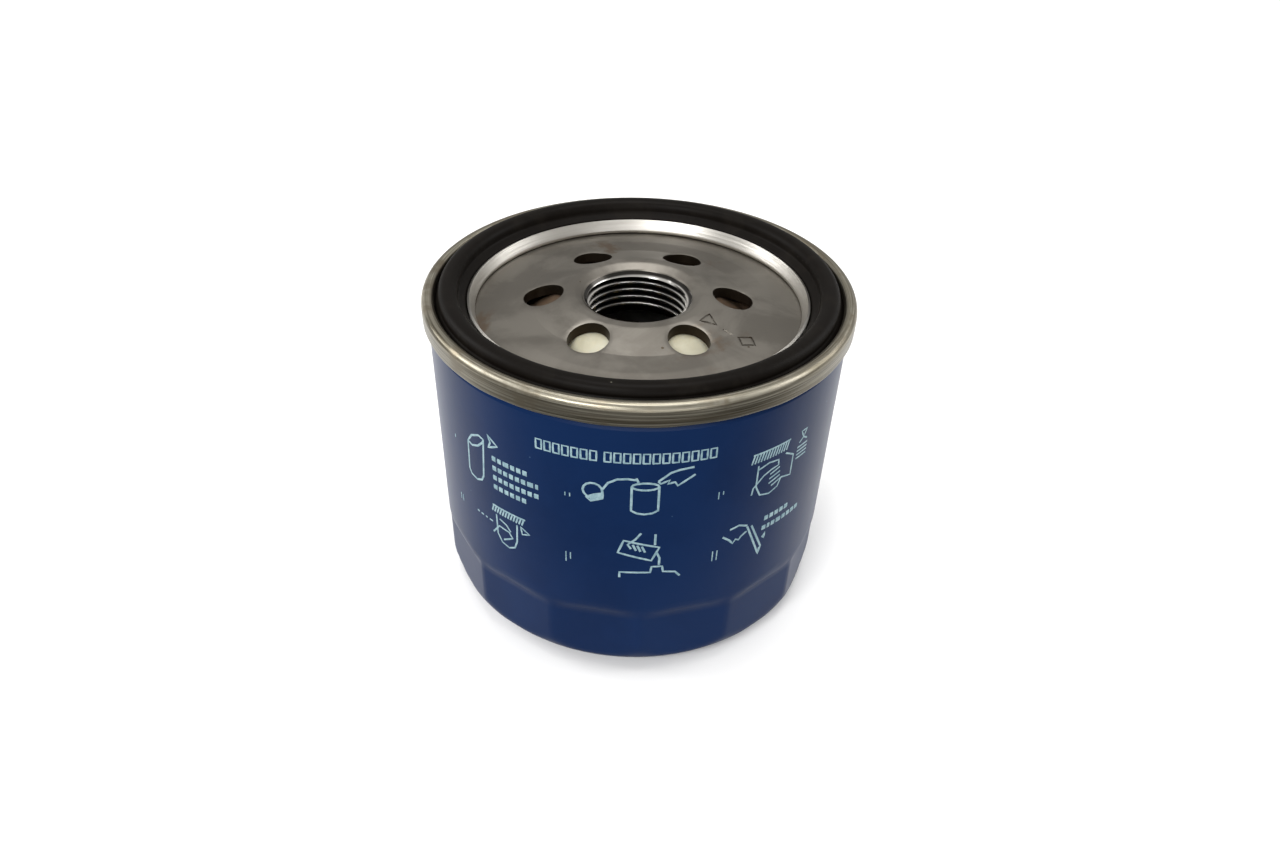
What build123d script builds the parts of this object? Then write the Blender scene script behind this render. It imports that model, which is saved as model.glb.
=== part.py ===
from build123d import *
from math import cos, radians, sin
import os

# Spin-on oil filter, standing on its closed end with the threaded mouth up.
# Millimetres. The origin is the centre of the closed end, on the surface it stands on.

# Outside
overall_height = 65.0  # closed end to the gasket's sealing face
rim_radius = 40.0
can_radius = 39.0
sheet = 0.45  # can, lid and end caps
seam_gap = 0.03  # between the folded layers of the rolled seam
rim_top = overall_height - 1.35
rim_bottom = rim_top - 4.25

# Wrench flats at the closed end
flat_count = 14
flat_distance = 37.95
flat_top = 18.0
flat_runout = 2.4
first_corner = -87.5
cup_height = 22.0
base_round = 7.2
panel_radius = 22.0
foot_radius = 24.5
panel_rise = 1.2

# Base plate
plate_radius = 38.0
plate_top = rim_top - 4.4
plate_thickness = 2.0
hub_top = plate_top + 2.95
hub_radius = 13.4
crease_radius = 20.2
crease_height = plate_top + 1.25
dish_radius = 25.0
dish_height = plate_top + 0.85
lid_opening = 30.0
thread_radius = 10.0 - 0.5413 * 1.5  # M20 x 1.5 internal thread, at its crests
mouth_radius = 10.2
mouth_round = 1.4  # the hub curves down this far outside the mouth
mouth_drop = 0.85
collar_radius = 12.2
collar_bottom = hub_top - 9.8
inlet_count = 6
inlet_diameter = 7.6
inlet_circle = 17.65

# Gasket channel
flange_tip_radius = 31.3
flange_tip = plate_top + 2.8
gasket_inner = 33.3
gasket_outer = 36.9
gasket_round = 1.2

# Filter element
cap_radius = 33.2
skirt_depth = 2.6
element_bottom = 9.35  # underside of the bottom end cap
element_top = 52.05  # top face of the top end cap
glue = 1.0
media_inner = 16.0
media_outer = 32.2
media_thickness = 0.7
pleat_count = 40
tube_radius = 15.5
tube_wall = 0.5
perforation = 3.6
perforation_rows = 6
perforation_columns = 8

# Anti-drain valve
sleeve_inner = 12.3
sleeve_outer = 13.5
web_thickness = 1.15
web_clearance = 0.25  # under the plate, where only the lip touches
trough_radius = 20.4
trough_depth = 3.7  # of the web below the hub, under the outer half of the inlets
lip_inner = 22.4
valve_gap = 0.15  # where the lip moves away from the web

# Bypass valve
seat_radius = 6.2
seat_lip = 11.2
seal_thickness = 1.2
valve_radius = 9.2
cage_radius = 10.2
cage_flange = 12.5
cage_top = 24.0
stem_radius = 1.5
guide_radius = 1.6
coil_radius = 6.0
coil_wire = 0.9
coil_turns = 5

# Support spring
spring_sheet = 0.8
spring_ring = 20.0
spring_hole = 9.5
arm_count = 4
arm_width = 10.0


def turned(points):
    """Half section through points, ready to be turned about Z."""
    with BuildSketch(Plane.XZ) as section:
        with BuildLine():
            Polyline(*points, close=True)
        make_face()
    return section.sketch


def bent_sheet(points, bends, thickness):
    """Section of a sheet whose left-hand face is thickness away from the path."""
    with BuildSketch(Plane.XZ) as section:
        with BuildLine():
            path = FilletPolyline(*points, radius=bends, mode=Mode.PRIVATE)
            offset(path, amount=thickness, side=Side.LEFT)
        make_face()
    return section.sketch


def layer(number):
    """Outer radius of one folded layer of the seam, counted inwards from the rim."""
    return rim_radius - number * (sheet + seam_gap)


def finish(part, name):
    part.label = name
    export_step(part, f"parts/{name}.step")


def fluted_cup(inset):
    """Solid closed end of the can, with every face moved in by inset."""
    radius = can_radius - inset
    floor = panel_rise + inset
    with BuildPart() as cutter:
        with BuildSketch(Plane.XZ):
            with BuildLine():
                Polyline(
                    (flat_distance - inset, -1),
                    (flat_distance - inset, flat_top - flat_runout),
                    (can_radius + 1, flat_top + 0.6),
                    (can_radius + 5, flat_top + 0.6),
                    (can_radius + 5, -1),
                    close=True,
                )
            make_face()
        extrude(amount=12, both=True)
    with BuildPart() as cup:
        with BuildSketch(Plane.XZ):
            with BuildLine():
                floor_line = Polyline(
                    (0, floor), (panel_radius, floor), (foot_radius, inset), (can_radius - base_round, inset)
                )
                corner = JernArc(floor_line @ 1, (1, 0), base_round - inset, 90)
                Polyline(corner @ 1, (radius, cup_height), (0, cup_height), (0, floor))
            make_face()
        revolve(axis=Axis.Z)
        with PolarLocations(0, flat_count, start_angle=first_corner + 180 / flat_count):
            add(cutter.part, mode=Mode.SUBTRACT)
    return cup.part


os.makedirs("parts", exist_ok=True)

# Can: a drawn steel cup with wrench flats, necked and folded outwards into the seam
can_outside = fluted_cup(0)
can_inside = fluted_cup(sheet)
hook_roof = rim_top - 2 * sheet - 0.05
with BuildPart() as can_shell:
    add(can_outside)
    add(can_inside, mode=Mode.SUBTRACT)
    wall_section = bent_sheet(
        [
            (can_radius, cup_height),
            (can_radius, rim_bottom - 1.2),
            (layer(3), rim_bottom - 0.3),
            (layer(3), hook_roof),
            (layer(1) - sheet, hook_roof),
            (layer(1) - sheet, rim_bottom + 0.9),
        ],
        [0.5, 0.5, 0.2, 0.2],
        sheet,
    )
    revolve(wall_section, axis=Axis.Z)
finish(can_shell.part, "can_shell")

# Base plate: thick pressed disc with a raised hub, a threaded collar and six oil inlets
with BuildPart() as base_plate:
    plate_section = turned(
        [
            (thread_radius, collar_bottom),
            (collar_radius, collar_bottom),
            (collar_radius, hub_top - plate_thickness),
            (hub_radius - 0.2, hub_top - plate_thickness),
            (crease_radius - 0.8, crease_height - plate_thickness),
            (dish_radius, dish_height - plate_thickness),
            (lid_opening, plate_top - plate_thickness),
            (plate_radius, plate_top - plate_thickness),
            (plate_radius, plate_top),
            (lid_opening, plate_top),
            (dish_radius, dish_height),
            (crease_radius, crease_height),
            (hub_radius, hub_top),
            (mouth_radius + mouth_round, hub_top),
            (mouth_radius, hub_top - mouth_drop),
            (thread_radius, hub_top - mouth_drop - (mouth_radius - thread_radius)),
        ]
    )
    revolve(plate_section, axis=Axis.Z)
    with BuildSketch(Plane.XY.offset(hub_top)):
        with PolarLocations(inlet_circle, inlet_count):
            Circle(inlet_diameter / 2)
    extrude(amount=-3 * plate_thickness, mode=Mode.SUBTRACT)
finish(base_plate.part, "base_plate")

# Seaming lid: gasket channel, and the outer half of the rolled seam
seam_roof = rim_top - sheet
seam_floor = rim_bottom + sheet
with BuildPart() as seaming_lid:
    lid_section = bent_sheet(
        [
            (flange_tip_radius, flange_tip),
            (lid_opening, plate_top),
            (layer(4), plate_top),
            (layer(4), seam_roof),
            (layer(0) - sheet, seam_roof),
            (layer(0) - sheet, seam_floor),
            (layer(2), seam_floor),
            (layer(2), hook_roof - 0.4),
        ],
        [0.7, 0.7, 0.4, 0.4, 0.2, 0.2],
        sheet,
    )
    revolve(lid_section, axis=Axis.Z)
finish(seaming_lid.part, "seaming_lid")

# Seam compound: the ring of sealant in the seam's inner fold
with BuildPart() as seam_compound:
    with BuildSketch(Plane.XY.offset(hook_roof - 0.37)):
        Circle(layer(2) - 0.04)
        Circle(layer(2) - sheet + 0.04, mode=Mode.SUBTRACT)
    extrude(amount=0.3)
finish(seam_compound.part, "seam_compound")

# Gasket: rubber ring held in the channel, standing proud of the rim
channel_floor = plate_top + sheet
with BuildPart() as gasket:
    gasket_section = turned(
        [
            (lid_opening + 1.4, channel_floor),
            (layer(4) - sheet - 0.6, channel_floor),
            (layer(4) - sheet - 0.08, channel_floor + 0.6),
            (layer(4) - sheet - 0.08, rim_top - 1.4),
            (gasket_outer, rim_top - 0.6),
            (gasket_outer, overall_height),
            (gasket_inner, overall_height),
            (gasket_inner, flange_tip + 0.8),
            (flange_tip_radius + 0.75, flange_tip - 0.1),
        ]
    )
    revolve(gasket_section, axis=Axis.Z)
    fillet(gasket.faces().sort_by(Axis.Z)[-1].edges(), radius=gasket_round)
finish(gasket.part, "gasket")

# Anti-drain valve: the sleeve is clamped between hub and element, and the lip closes the inlets
hub_underside = hub_top - plate_thickness
trough = hub_underside - trough_depth
with BuildPart() as anti_drain_sleeve:
    sleeve_section = turned(
        [
            (sleeve_inner, element_top),
            (sleeve_outer, element_top),
            (sleeve_outer, hub_underside - 1.9),
            (sleeve_outer + 2.3, hub_underside - 2.2),
            (trough_radius, trough - web_thickness),
            (lip_inner - valve_gap, trough - web_thickness),
            (lip_inner - valve_gap, trough),
            (trough_radius + 0.3, trough),
            (sleeve_outer + 2.7, hub_underside - 1.0),
            (sleeve_outer + 0.1, hub_underside - web_clearance),
            (sleeve_outer - 0.3, hub_underside),
            (sleeve_inner, hub_underside),
        ]
    )
    revolve(sleeve_section, axis=Axis.Z)
finish(anti_drain_sleeve.part, "anti_drain_sleeve")

lip_tip = dish_height - plate_thickness - 0.02
with BuildPart() as anti_drain_lip:
    lip_section = turned(
        [
            (lip_inner, trough - web_thickness),
            (dish_radius - 0.7, trough - 0.6),
            (dish_radius + 0.3, lip_tip - 0.6),
            (dish_radius, lip_tip),
            (dish_radius - 0.7, lip_tip),
            (dish_radius - 1.4, trough + 0.6),
            (lip_inner, trough),
        ]
    )
    revolve(lip_section, axis=Axis.Z)
finish(anti_drain_lip.part, "anti_drain_lip")

# End caps: pressed steel discs with skirts that hold the glued ends of the media
with BuildPart() as top_end_cap:
    top_cap_section = bent_sheet(
        [
            (sleeve_inner + 0.1, element_top - sheet),
            (cap_radius - sheet, element_top - sheet),
            (cap_radius - sheet, element_top - skirt_depth),
        ],
        [0.2],
        sheet,
    )
    revolve(top_cap_section, axis=Axis.Z)
finish(top_end_cap.part, "top_end_cap")

with BuildPart() as bottom_end_cap:
    bottom_cap_section = bent_sheet(
        [
            (cap_radius - sheet, element_bottom + skirt_depth),
            (cap_radius - sheet, element_bottom + sheet),
            (seat_radius + 0.8, element_bottom + sheet),
        ],
        [0.2],
        sheet,
    )
    revolve(bottom_cap_section, axis=Axis.Z)
finish(bottom_end_cap.part, "bottom_end_cap")

# Glue that seals the media into each end cap
glue_inner = tube_radius + 0.05
glue_outer = cap_radius - sheet - 0.25
with BuildPart() as top_adhesive:
    with BuildSketch(Plane.XY.offset(element_top - sheet - glue)):
        Circle(glue_outer)
        Circle(glue_inner, mode=Mode.SUBTRACT)
    extrude(amount=glue)
finish(top_adhesive.part, "top_adhesive")

with BuildPart() as bottom_adhesive:
    with BuildSketch(Plane.XY.offset(element_bottom + sheet)):
        Circle(glue_outer)
        Circle(glue_inner, mode=Mode.SUBTRACT)
    extrude(amount=glue)
finish(bottom_adhesive.part, "bottom_adhesive")

# Filter media: one band of paper folded into straight pleats
media_bottom = element_bottom + sheet + glue
media_height = element_top - sheet - glue - media_bottom


def pleated_outline(outer_radius, inner_radius, outer_half, inner_half):
    """Closed zigzag with a flat fold at each tip, as wide as twice the half widths."""
    pitch = 360 / pleat_count
    points = []
    for pleat in range(pleat_count):
        for radius, half, turn in (
            (outer_radius, -outer_half, 0.0),
            (outer_radius, outer_half, 0.0),
            (inner_radius, -inner_half, 0.5),
            (inner_radius, inner_half, 0.5),
        ):
            angle = radians((pleat + turn) * pitch)
            points.append(
                (radius * cos(angle) - half * sin(angle), radius * sin(angle) + half * cos(angle))
            )
    return points


fold = 1.25 * media_thickness
with BuildPart() as pleated_media:
    with BuildSketch(Plane.XY.offset(media_bottom)):
        with BuildLine():
            outer_face = pleated_outline(media_outer, media_inner + media_thickness, fold, fold - media_thickness)
            Polyline(*outer_face, close=True)
        make_face()
        with BuildLine():
            inner_face = pleated_outline(media_outer - media_thickness, media_inner, fold - media_thickness, fold)
            Polyline(*inner_face, close=True)
        make_face(mode=Mode.SUBTRACT)
    extrude(amount=media_height)
finish(pleated_media.part, "pleated_media")

# Metal clip that closes the band of media over one outer fold
clip_sheet = 0.3
clip_depth = 3.5
clip_width = 2 * fold + 0.3
with BuildPart() as media_seam_clip:
    with BuildSketch(Plane.XY.offset(media_bottom)):
        with Locations((media_outer + 0.05 + clip_sheet, 0)):
            Rectangle(clip_depth, clip_width + 2 * clip_sheet, align=(Align.MAX, Align.CENTER))
        with Locations((media_outer + 0.05, 0)):
            Rectangle(clip_depth, clip_width, align=(Align.MAX, Align.CENTER), mode=Mode.SUBTRACT)
    extrude(amount=media_height)
finish(media_seam_clip.part, "media_seam_clip")

# Centre tube: perforated steel that keeps the media from collapsing
tube_bottom = element_bottom + sheet
tube_height = element_top - sheet - tube_bottom
with BuildPart() as center_tube:
    with BuildSketch(Plane.XY.offset(tube_bottom)):
        Circle(tube_radius)
        Circle(tube_radius - tube_wall, mode=Mode.SUBTRACT)
    extrude(amount=tube_height)
    for row in range(perforation_rows):
        height = tube_bottom + tube_height * (row + 1) / (perforation_rows + 1)
        shift = (row % 2) * 180 / perforation_columns
        for column in range(perforation_columns // 2):
            direction = radians(column * 360 / perforation_columns + shift)
            across = Plane(origin=(0, 0, height), z_dir=(cos(direction), sin(direction), 0))
            with BuildSketch(across):
                Circle(perforation / 2)
            extrude(amount=tube_radius + 1, both=True, mode=Mode.SUBTRACT)
finish(center_tube.part, "center_tube")

# Bypass valve: a sprung disc over the hole in the bottom end cap, opening upwards
seat_bottom = element_bottom + sheet
with BuildPart() as bypass_seat:
    seat_section = turned(
        [
            (seat_radius - sheet, seat_bottom),
            (cage_flange, seat_bottom),
            (cage_flange, seat_bottom + sheet),
            (seat_radius, seat_bottom + sheet),
            (seat_radius, seat_lip),
            (seat_radius - sheet, seat_lip),
        ]
    )
    revolve(seat_section, axis=Axis.Z)
finish(bypass_seat.part, "bypass_seat")

with BuildPart() as bypass_seal:
    with BuildSketch(Plane.XY.offset(seat_lip)):
        Circle(valve_radius - 0.4)
        Circle(stem_radius + 0.02, mode=Mode.SUBTRACT)
    extrude(amount=seal_thickness)
finish(bypass_seal.part, "bypass_seal")

disc_bottom = seat_lip + seal_thickness
with BuildPart() as bypass_disc:
    with BuildSketch(Plane.XY.offset(disc_bottom)):
        Circle(valve_radius)
        Circle(stem_radius + 0.02, mode=Mode.SUBTRACT)
    extrude(amount=sheet)
finish(bypass_disc.part, "bypass_disc")

with BuildPart() as bypass_stem:
    with BuildSketch(Plane.XY.offset(seat_lip - 0.7)):
        Circle(2 * stem_radius)
    extrude(amount=0.7)
    with BuildSketch(Plane.XY.offset(seat_lip)):
        Circle(stem_radius)
    extrude(amount=cage_top + 3.5 - seat_lip)
finish(bypass_stem.part, "bypass_stem")

cage_bottom = seat_bottom + sheet
with BuildPart() as bypass_cage:
    cage_section = bent_sheet(
        [
            (guide_radius, cage_top),
            (cage_radius - sheet, cage_top),
            (cage_radius - sheet, cage_bottom),
            (cage_flange, cage_bottom),
        ],
        [0.4, 0.6],
        sheet,
    )
    revolve(cage_section, axis=Axis.Z)
    with PolarLocations(cage_radius, 4, start_angle=45):
        Box(4, 8.5, 8, align=(Align.CENTER, Align.CENTER, Align.MIN), mode=Mode.SUBTRACT)
finish(bypass_cage.part, "bypass_cage")

coil_bottom = disc_bottom + sheet + coil_wire / 2 + 0.02
coil_height = cage_top - coil_wire / 2 - 0.02 - coil_bottom
with BuildPart() as bypass_spring:
    with BuildLine(Plane.XY.offset(coil_bottom)):
        coil = Helix(pitch=coil_height / coil_turns, height=coil_height, radius=coil_radius)
    with BuildSketch(Plane(origin=coil @ 0, z_dir=coil % 0)):
        Circle(coil_wire / 2)
    sweep(path=coil, is_frenet=True)
finish(bypass_spring.part, "bypass_spring")

# Support spring: four bent arms that push the element up against the anti-drain valve
arm_foot = 30.0
with BuildPart() as support_spring:
    with BuildSketch(Plane.XY.offset(element_bottom - spring_sheet)):
        Circle(spring_ring)
        Circle(spring_hole, mode=Mode.SUBTRACT)
    extrude(amount=spring_sheet)
    arm_section = bent_sheet(
        [
            (spring_hole + 4, element_bottom - spring_sheet),
            (spring_ring - 1, element_bottom - spring_sheet),
            (arm_foot, sheet),
            (arm_foot + 2.6, sheet + 1.1),
        ],
        [2.5, 1.6],
        spring_sheet,
    )
    arm_solid = extrude(arm_section, amount=arm_width / 2, both=True, mode=Mode.PRIVATE)
    with PolarLocations(0, arm_count, start_angle=45):
        add(arm_solid)
finish(support_spring.part, "support_spring")
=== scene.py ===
import math

import bmesh
import bpy
from mathutils import Matrix, Vector


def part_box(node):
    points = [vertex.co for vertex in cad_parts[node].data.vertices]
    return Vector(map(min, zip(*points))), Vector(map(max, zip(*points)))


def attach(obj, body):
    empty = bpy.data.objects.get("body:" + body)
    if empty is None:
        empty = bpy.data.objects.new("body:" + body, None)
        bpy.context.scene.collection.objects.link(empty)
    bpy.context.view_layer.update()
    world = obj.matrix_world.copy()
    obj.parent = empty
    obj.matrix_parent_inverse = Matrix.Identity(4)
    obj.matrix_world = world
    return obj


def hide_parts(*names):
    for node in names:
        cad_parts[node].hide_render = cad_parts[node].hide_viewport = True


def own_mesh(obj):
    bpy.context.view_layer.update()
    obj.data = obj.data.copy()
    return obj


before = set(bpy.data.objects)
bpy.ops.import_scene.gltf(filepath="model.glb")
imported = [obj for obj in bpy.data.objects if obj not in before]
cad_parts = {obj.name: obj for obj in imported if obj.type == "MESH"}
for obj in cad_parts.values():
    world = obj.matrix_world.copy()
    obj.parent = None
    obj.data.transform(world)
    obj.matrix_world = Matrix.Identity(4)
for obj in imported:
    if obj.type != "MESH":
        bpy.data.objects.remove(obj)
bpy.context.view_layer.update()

# Sizes in millimetres, as in the solids
MM = 0.001
sheet = 0.45
rim_radius = 40.0
can_radius = 39.0
layer_step = sheet + 0.03
overall_height = 65.0
rim_top = overall_height - 1.35
rim_bottom = rim_top - 4.25
plate_top = rim_top - 4.4
hub_top = plate_top + 2.95
plate_thickness = 2.0
collar_bottom = hub_top - 9.8
flat_count = 14
flat_pitch = 360 / flat_count
flat_distance = 37.95
flat_top = 18.0
flat_runout = 2.4
flat_runout_slope = 0.68
flat_edge_softness = 0.012
base_round = 7.2
first_corner = -87.5
thread_root = 10.0
thread_crest = 9.188
thread_pitch = 1.5


# ---------------------------------------------------------------- outlines


def rounded(corners, radii, steps=6):
    """Open path through the corners, with an arc of the given radius at each inner one."""
    corners = [Vector(corner) for corner in corners]
    path = [corners[0]]
    for before, corner, after, radius in zip(corners, corners[1:], corners[2:], radii):
        arriving = (corner - before).normalized()
        leaving = (after - corner).normalized()
        turn = arriving.angle(leaving)
        inwards = (leaving - arriving * arriving.dot(leaving)).normalized()
        start = corner - arriving * radius * math.tan(turn / 2)
        for step in range(steps + 1):
            swing = turn * step / steps
            along, across = radius * math.sin(swing), radius * (1 - math.cos(swing))
            path.append(start + arriving * along + inwards * across)
    return path + [corners[-1]]


def divided(path, longest):
    """The same path with no run longer than longest."""
    points = [path[0]]
    for start, end in zip(path, path[1:]):
        pieces = max(1, math.ceil((end - start).length / longest))
        points += [start.lerp(end, piece / pieces) for piece in range(1, pieces + 1)]
    return points


def thickened(path, thickness):
    """Closed outline of a bent sheet that lies to the left of the path."""
    far_side = []
    for place, point in enumerate(path):
        along = path[min(place + 1, len(path) - 1)] - path[max(place - 1, 0)]
        far_side.append(point + Vector((-along.y, along.x)).normalized() * thickness)
    return path + far_side[::-1]


def turned(outline, steps, closed=True):
    """Solid of revolution about the filter's axis, from (radius, height) points in millimetres."""
    shape = bmesh.new()
    points = [shape.verts.new((radius * MM, 0, height * MM)) for radius, height in outline]
    ends = points[1:] + points[:1] if closed else points[1:]
    edges = [shape.edges.new(pair) for pair in zip(points, ends)]
    bmesh.ops.spin(
        shape,
        geom=points + edges,
        cent=(0, 0, 0),
        axis=(0, 0, 1),
        angle=math.tau,
        steps=steps,
        use_merge=True,
    )
    bmesh.ops.remove_doubles(shape, verts=shape.verts, dist=1e-7)
    bmesh.ops.recalc_face_normals(shape, faces=shape.faces)
    return shape


# ---------------------------------------------------------------- pieces


def piece(name, shape, material, body="filter", replaced=(), slot=None, crease=40):
    """Object made from a bmesh, smooth except at its creases."""
    mesh = bpy.data.meshes.new(name)
    shape.to_mesh(mesh)
    shape.free()
    mesh.shade_smooth()
    mesh.set_sharp_from_angle(angle=math.radians(crease))
    mesh.materials.append(material)
    made = bpy.data.objects.new(name, mesh)
    bpy.context.scene.collection.objects.link(made)
    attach(made, body)
    if replaced:
        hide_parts(*replaced)
    return made


def cut_away(target, cutter):
    """Takes the cutter's volume out of a bmesh and returns the result as a new bmesh."""
    holders = []
    for name, shape in (("target", target), ("cutter", cutter)):
        mesh = bpy.data.meshes.new(name)
        shape.to_mesh(mesh)
        shape.free()
        holder = bpy.data.objects.new(name, mesh)
        bpy.context.scene.collection.objects.link(holder)
        holders.append(holder)
    boolean = holders[0].modifiers.new("cut", "BOOLEAN")
    boolean.object = holders[1]
    boolean.solver = "EXACT"
    boolean.use_self = True
    evaluated = holders[0].evaluated_get(bpy.context.evaluated_depsgraph_get())
    result = bmesh.new()
    result.from_mesh(evaluated.to_mesh())
    for holder in holders:
        bpy.data.objects.remove(holder)
    return result


def make_can(material):
    """Drawn cup with fourteen wrench flats, necked and folded outwards into the seam."""
    seam_wall = rim_radius - 3 * layer_step
    hook_wall = rim_radius - layer_step - sheet
    hook_roof = rim_top - 2 * sheet - 0.05
    path = rounded(
        [
            (0, 1.2),
            (22, 1.2),
            (24.5, 0),
            (can_radius, 0),
            (can_radius, rim_bottom - 1.2),
            (seam_wall, rim_bottom - 0.3),
            (seam_wall, hook_roof),
            (hook_wall, hook_roof),
            (hook_wall, rim_bottom + 0.9),
        ],
        [1, 1, base_round, 0.5, 0.5, 0.2, 0.35],
    )
    path = divided(path, 1.2)
    shape = turned(thickened(path, sheet), 22 * flat_count, closed=False)
    seam_start = rim_bottom - 2
    foot_ring_inside = 25
    for vert in shape.verts:
        x, y, z = vert.co / MM
        if z > seam_start:
            continue
        radius = math.hypot(x, y)
        bearing = math.degrees(math.atan2(y, x)) - first_corner
        off_centre = math.radians(bearing % flat_pitch - flat_pitch / 2)
        inset = sheet if is_inner(radius, z) else 0
        lean = max(0, z - (flat_top - flat_runout)) * flat_runout_slope
        limit = (flat_distance + lean - inset) / math.cos(off_centre)
        spare = radius - limit
        pressed = (spare + math.sqrt(spare * spare + flat_edge_softness)) / 2
        if radius > foot_ring_inside:
            vert.co.x *= 1 - pressed / radius
            vert.co.y *= 1 - pressed / radius
    return piece("painted_can", shape, material, replaced=["can_shell"], slot="blue_paint")


def is_inner(radius, height):
    """Whether a point of the can's wall or rounded base lies on its inside face."""
    centre = can_radius - base_round
    if height > base_round:
        return radius < can_radius - sheet / 2
    if radius < centre:
        return height > sheet / 2
    return math.hypot(radius - centre, height - base_round) < base_round - sheet / 2


def make_seaming_lid(material):
    """Gasket channel with its flared inner flange, and the outer folds of the rolled seam."""
    channel_wall = rim_radius - 4 * layer_step
    outer_wall = rim_radius - sheet
    hook_wall = rim_radius - 2 * layer_step
    path = rounded(
        [
            (31.3, plate_top + 2.8),
            (30.0, plate_top),
            (channel_wall, plate_top),
            (channel_wall, rim_top - sheet),
            (outer_wall, rim_top - sheet),
            (outer_wall, rim_bottom + sheet),
            (hook_wall, rim_bottom + sheet),
            (hook_wall, rim_top - 3 * sheet),
        ],
        [0.7, 0.7, 0.45, 0.85, 0.25, 0.2],
        steps=10,
    )
    shape = turned(thickened(divided(path, 0.8), sheet), 288)
    for vert in shape.verts:
        bearing = math.atan2(vert.co.y, vert.co.x)
        if vert.co.to_2d().length > 38.4 * MM and vert.co.z < (rim_bottom + 1) * MM:
            vert.co.z += 0.04 * MM * (math.sin(9 * bearing) + math.sin(23 * bearing + 1))
    return piece("seaming_lid_and_rim", shape, material, replaced=["seaming_lid"], slot="bright_steel")


def make_gasket(material):
    """Broad rubber ring with a softly rounded sealing face."""
    channel_floor = plate_top + sheet
    groove_wall = rim_radius - 4 * layer_step - sheet
    outline = rounded(
        [
            (34, channel_floor),
            (groove_wall - 0.08, channel_floor),
            (groove_wall - 0.08, rim_top - 1.4),
            (36.9, rim_top - 0.5),
            (36.9, overall_height - 0.15),
            (35.1, overall_height),
            (33.3, overall_height - 0.15),
            (33.3, plate_top + 3.6),
            (32.05, plate_top + 2.7),
            (31.4, channel_floor),
            (33, channel_floor),
        ],
        [0.6, 0.4, 0.4, 1.5, 3, 1.5, 0.6, 0.4, 0.2],
        steps=8,
    )
    return piece(
        "sealing_gasket", turned(outline, 240), material, replaced=["gasket"], slot="black_rubber", crease=60
    )


inlet_circle = 17.65
inlet_radius = 3.8
inlet_bearings = [math.radians(60 * number) for number in range(6)]
inlet_edge_roll = 0.6  # width of the edge that the punch drew down
inlet_edge_drop = 0.14
mark_bearing = -36.5
mark_circle = 20.4
mark_width = 0.55
mark_sink = 0.04  # how far the middle of a mark's groove lies under the face
plate_line = [(13.4, hub_top), (20.2, plate_top + 1.25), (25.0, plate_top + 0.85), (29.8, plate_top + 0.1)]


def plate_height(radius):
    """Height of the plate's upper face at a distance from the axis."""
    for (near, high), (far, low) in zip(plate_line, plate_line[1:]):
        if radius < far:
            return high + (low - high) * (radius - near) / (far - near)
    return plate_top


def make_base_plate(material):
    """Pressed plate with a raised hub, a drawn collar, six inlets and a row of punched marks."""
    outline = rounded(
        [
            (thread_root, 57),
            (thread_root, hub_top - 1.2),
            (10.2, hub_top - 0.85),
            (11.7, hub_top),
            *plate_line,
            (31.5, plate_top),
            (38.0, plate_top),
            (38.0, plate_top - plate_thickness),
            (29.7, plate_top - plate_thickness),
            (25.0, plate_top + 0.85 - plate_thickness),
            (19.4, plate_top + 1.25 - plate_thickness),
            (13.2, hub_top - plate_thickness),
            (12.2, hub_top - plate_thickness),
            (12.2, collar_bottom),
            (thread_root, collar_bottom),
            (thread_root, 57),
        ],
        [0.1, 0.15, 1.6, 2.5, 1.5, 7, 3, 1, 0.2, 0.2, 2, 3, 2, 1, 0.5, 0.3, 0.2],
    )
    shape = turned(divided(outline, 0.7)[:-1], 240)
    cutter = bmesh.new()
    for bearing in inlet_bearings:
        place = Matrix.Translation(
            (inlet_circle * MM * math.cos(bearing), inlet_circle * MM * math.sin(bearing), (hub_top - 2) * MM)
        )
        bmesh.ops.create_cone(
            cutter,
            cap_ends=True,
            segments=64,
            radius1=inlet_radius * MM,
            radius2=inlet_radius * MM,
            depth=12 * MM,
            matrix=place,
        )
    shape = cut_away(shape, cutter)
    triangle = [(-5.6, -1.5), (-5.6, 1.5), (-3.1, 0), (-5.6, -1.5)]
    diamond = [(1.6, 0), (3.3, 1.6), (5.0, 0), (3.3, -1.6), (1.6, 0)]
    stamp = [triangle, [(-1.6, 0), (0.4, 0)], diamond]
    marks = round_strokes("marks", stamp, mark_width)
    bearing = math.radians(mark_bearing)
    outwards = Vector((math.cos(bearing), math.sin(bearing)))
    sideways = outwards.orthogonal()
    for vert in marks.verts:
        spot = outwards * (mark_circle + vert.co.x) + sideways * vert.co.y
        vert.co = Vector((spot.x, spot.y, plate_height(spot.length) - mark_sink + vert.co.z)) * MM
    shape = cut_away(shape, marks)
    for vert in shape.verts:
        for bearing in inlet_bearings:
            centre = Vector((math.cos(bearing), math.sin(bearing))) * inlet_circle * MM
            beyond = (vert.co.to_2d() - centre).length / MM - inlet_radius
            on_upper_face = vert.co.z > (plate_top + 0.9) * MM
            if -0.02 < beyond < inlet_edge_roll and on_upper_face:
                vert.co.z -= inlet_edge_drop * MM * (1 - beyond / inlet_edge_roll) ** 2
    return piece("pressed_base_plate", shape, material, replaced=["base_plate"], slot="bare_steel", crease=35)


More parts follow.
